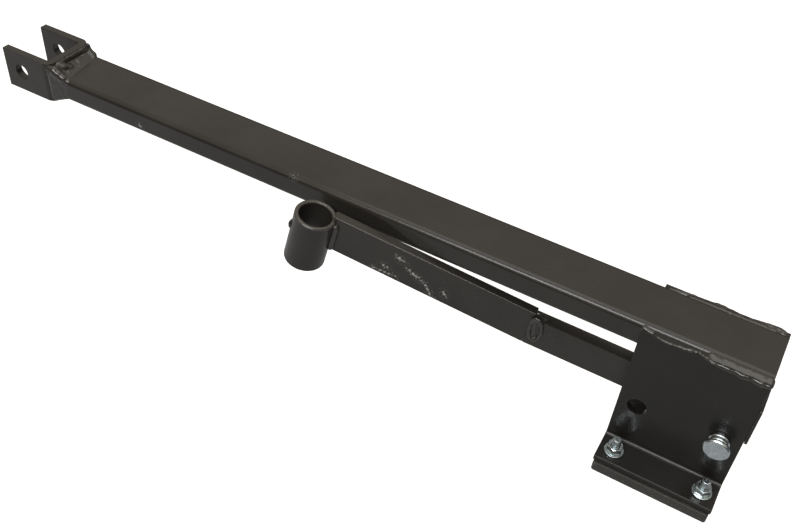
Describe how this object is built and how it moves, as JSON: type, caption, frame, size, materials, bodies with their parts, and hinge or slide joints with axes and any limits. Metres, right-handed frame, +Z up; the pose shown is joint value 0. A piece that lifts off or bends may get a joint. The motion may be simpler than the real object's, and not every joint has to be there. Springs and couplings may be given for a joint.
{
  "type": "lever-operated door opener",
  "caption": "Square tube arm with a clevis fork, a bolt-on pivot bracket and a dog-leg lever with a handle socket that swings down from the tube.",
  "frame": {"origin": "on the base plate's underside, halfway along it and in the middle plane of the clevis and of the lever's pivot", "axes": "+X along the tube from the clevis towards the bracket, +Y across it towards the far side plate, +Z up from the base plate"},
  "size_m": [0.7919, 0.1403, 0.1593],
  "materials": {
    "paint": "satin dark bronze paint",
    "weld": "glossy dark bronze paint over a weld bead",
    "zinc": "bright zinc plate",
    "steel": "bare steel"
  },
  "bodies": {
    "frame": {"main_tube": "paint", "clevis_fork": "paint", "clevis_weld_top": "weld", "clevis_weld_near": "weld", "clevis_weld_far": "weld", "near_side_plate": "paint", "far_side_plate": "paint", "near_plate_weld": "weld", "far_plate_weld": "weld", "end_brace": "paint", "base_plate": "paint", "base_bolt_1": "zinc", "base_bolt_2": "zinc", "base_bolt_3": "zinc", "base_bolt_4": "zinc", "base_washer_1": "zinc", "base_washer_2": "zinc", "base_washer_3": "zinc", "base_washer_4": "zinc", "base_nut_1": "zinc", "base_nut_2": "zinc", "base_nut_3": "zinc", "base_nut_4": "zinc", "pivot_pin": "zinc", "pin_ring_1": "zinc", "pin_ring_2": "zinc", "pin_washer": "zinc", "cotter_pin": "steel"},
    "lever": {"pivot_bushing": "steel", "lever_inner_bar": "paint", "lever_outer_bar": "paint", "lever_joint_weld": "weld", "socket_tube": "paint", "socket_weld_near": "weld", "socket_weld_far": "weld"}
  },
  "joints": [
    {"name": "lever_swing", "type": "hinge", "parent": "frame", "child": "lever", "pos_m": [0.035, 0, 0.0663], "axis": [0, -1, 0], "range_deg": [0, 27.5]}
  ]
}
